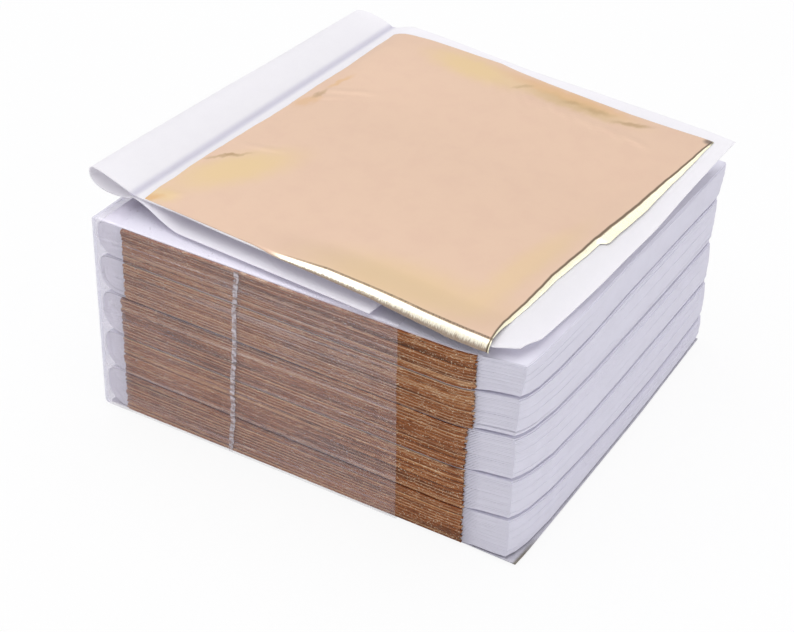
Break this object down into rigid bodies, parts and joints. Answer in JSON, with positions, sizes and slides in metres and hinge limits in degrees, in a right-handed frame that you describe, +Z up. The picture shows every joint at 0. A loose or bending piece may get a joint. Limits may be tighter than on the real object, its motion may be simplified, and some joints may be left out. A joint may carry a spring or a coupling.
{
  "type": "gold leaf booklet",
  "caption": "Block of imitation gold leaf booklets in a clear film sleeve, with one leaf laid open on a loose folded tissue.",
  "frame": {"origin": "on the surface the sleeve rests on, below the middle of the block of booklets", "axes": "+X from the folded spines to the open page ends, +Y from the front to the back, +Z up"},
  "size_m": [0.1093, 0.0962, 0.0541],
  "materials": {
    "tissue": "matte, thin and slightly translucent",
    "gold_leaf": "satin mirror with fine wrinkles",
    "clear_film": "clear gloss packing film",
    "base_card": "matte thin sheet"
  },
  "bodies": {
    "sleeve": {"film_sleeve": "clear_film"},
    "base_sheet": {"base_sheet": "base_card"},
    "booklet_1": {"booklet_1_cover_folio": "tissue", "booklet_1_inner_folios": "tissue", "booklet_1_lower_leaves": "gold_leaf", "booklet_1_upper_leaves": "gold_leaf"},
    "booklet_2": {"booklet_2_cover_folio": "tissue", "booklet_2_inner_folios": "tissue", "booklet_2_lower_leaves": "gold_leaf", "booklet_2_upper_leaves": "gold_leaf"},
    "booklet_3": {"booklet_3_cover_folio": "tissue", "booklet_3_inner_folios": "tissue", "booklet_3_lower_leaves": "gold_leaf", "booklet_3_upper_leaves": "gold_leaf"},
    "booklet_4": {"booklet_4_cover_folio": "tissue", "booklet_4_inner_folios": "tissue", "booklet_4_lower_leaves": "gold_leaf", "booklet_4_upper_leaves": "gold_leaf"},
    "booklet_5": {"booklet_5_cover_folio": "tissue", "booklet_5_inner_folios": "tissue", "booklet_5_lower_leaves": "gold_leaf", "booklet_5_upper_leaves": "gold_leaf"},
    "loose_folio": {"folio_loop_and_lower_page": "tissue"},
    "folio_page": {"folio_upper_page": "tissue"},
    "top_leaf": {"top_gold_leaf": "gold_leaf"}
  },
  "joints": [
    {"name": "base_sheet_slide", "type": "slide", "parent": "sleeve", "child": "base_sheet", "axis": [1, 0, 0], "range_m": [0, 0.075]},
    {"name": "booklet_1_slide", "type": "slide", "parent": "sleeve", "child": "booklet_1", "axis": [1, 0, 0], "range_m": [0, 0.075]},
    {"name": "booklet_2_slide", "type": "slide", "parent": "sleeve", "child": "booklet_2", "axis": [1, 0, 0], "range_m": [0, 0.075]},
    {"name": "booklet_3_slide", "type": "slide", "parent": "sleeve", "child": "booklet_3", "axis": [1, 0, 0], "range_m": [0, 0.075]},
    {"name": "booklet_4_slide", "type": "slide", "parent": "sleeve", "child": "booklet_4", "axis": [1, 0, 0], "range_m": [0, 0.075]},
    {"name": "booklet_5_slide", "type": "slide", "parent": "sleeve", "child": "booklet_5", "axis": [1, 0, 0], "range_m": [0, 0.075]},
    {"name": "folio_lift", "type": "slide", "parent": "sleeve", "child": "loose_folio", "axis": [0, 0, 1], "range_m": [0, 0.06]},
    {"name": "page_turn", "type": "hinge", "parent": "loose_folio", "child": "folio_page", "pos_m": [-0.0431, -0.0387, 0.04946], "axis": [-0.0767, -0.9966, -0.0314], "range_deg": [0, 140]},
    {"name": "leaf_lift", "type": "slide", "parent": "folio_page", "child": "top_leaf", "axis": [0.0121, -0.0325, 0.9994], "range_m": [0, 0.04]}
  ]
}
